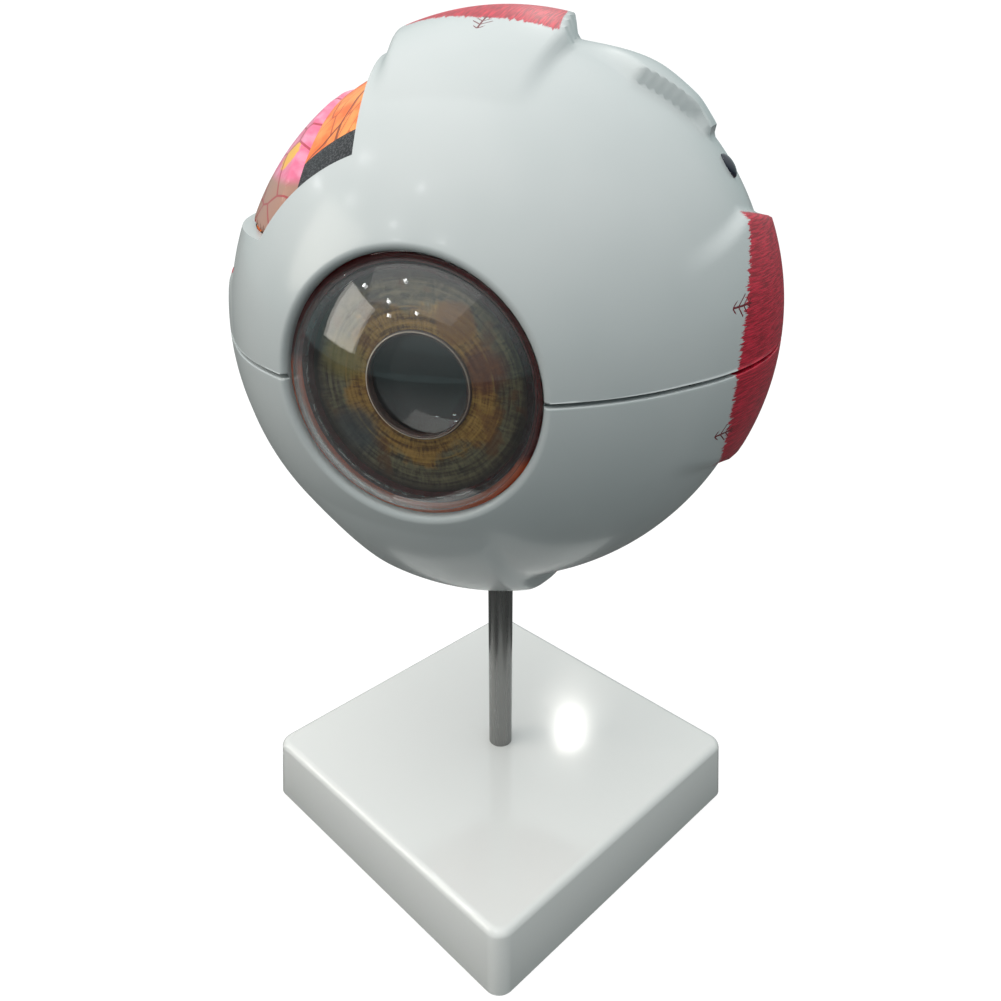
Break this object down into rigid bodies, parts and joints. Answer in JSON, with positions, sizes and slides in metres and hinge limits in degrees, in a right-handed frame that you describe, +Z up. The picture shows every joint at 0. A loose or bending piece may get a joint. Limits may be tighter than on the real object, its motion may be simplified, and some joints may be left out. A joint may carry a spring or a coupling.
{
  "type": "eye anatomy model",
  "caption": "Eye anatomy model on a rod and square base: white sclera with moulded muscles, lift-off upper half, cornea, iris, lens and vitreous body",
  "frame": {"origin": "centre of the base's underside, on the table", "axes": "+Z up, X and Y along the base's sides; the eyeball looks 27.4 degrees from -Y towards +X"},
  "size_m": [0.1455, 0.1685, 0.2531],
  "materials": {
    "base_plastic": "gloss",
    "foam": "matte",
    "steel": "satin",
    "zinc": "bright",
    "nylon": "satin",
    "sclera_plastic": "satin gloss",
    "choroid_plastic": "gloss",
    "retina_plastic": "gloss",
    "ciliary_plastic": "satin",
    "nerve_plastic": "satin",
    "artery_plastic": "gloss",
    "vein_plastic": "gloss",
    "clear_plastic": "clear",
    "iris_plastic": "printed gloss"
  },
  "bodies": {
    "stand": {"base_plate": "base_plastic", "base_pad": "foam", "rod": "steel", "rod_washer": "zinc", "rod_nut": "zinc"},
    "sleeve": {"rod_sleeve": "nylon"},
    "eyeball": {"sclera_lower": "sclera_plastic", "seam_pins": "steel", "choroid_lower": "choroid_plastic", "retina_lower": "retina_plastic", "ciliary_lower": "ciliary_plastic", "nerve_sheath": "sclera_plastic", "optic_nerve": "nerve_plastic", "retinal_artery": "artery_plastic", "retinal_vein": "vein_plastic"},
    "upper_sclera": {"sclera_upper": "sclera_plastic", "vortex_vein": "vein_plastic"},
    "upper_choroid": {"choroid_upper": "choroid_plastic", "retina_upper": "retina_plastic", "ciliary_upper": "ciliary_plastic"},
    "vitreous": {"vitreous_body": "clear_plastic"},
    "lens_body": {"lens": "clear_plastic"},
    "cornea_body": {"cornea": "clear_plastic", "iris": "iris_plastic"}
  },
  "joints": [
    {"name": "eyeball_turn", "type": "hinge", "parent": "stand", "child": "sleeve", "pos_m": [0, 0, 0.12], "axis": [0, 0, 1], "continuous": true},
    {"name": "eyeball_lift", "type": "slide", "parent": "sleeve", "child": "eyeball", "axis": [0, 0, 1], "range_m": [0, 0.03]},
    {"name": "sclera_lift", "type": "slide", "parent": "eyeball", "child": "upper_sclera", "axis": [0, 0, 1], "range_m": [0, 0.2]},
    {"name": "choroid_lift", "type": "slide", "parent": "eyeball", "child": "upper_choroid", "axis": [0, 0, 1], "range_m": [0, 0.12]},
    {"name": "vitreous_lift", "type": "slide", "parent": "eyeball", "child": "vitreous", "axis": [0, 0, 1], "range_m": [0, 0.066]},
    {"name": "cornea_pull", "type": "slide", "parent": "eyeball", "child": "cornea_body", "axis": [0.4602, -0.8878, 0], "range_m": [0, 0.06]},
    {"name": "lens_pull", "type": "slide", "parent": "vitreous", "child": "lens_body", "axis": [0.4602, -0.8878, 0], "range_m": [0, 0.024]}
  ],
  "couplings": [
    {"joint": "choroid_lift", "follows": "sclera_lift", "ratio": 0.6},
    {"joint": "vitreous_lift", "follows": "sclera_lift", "ratio": 0.33},
    {"joint": "lens_pull", "follows": "cornea_pull", "ratio": 0.4}
  ]
}
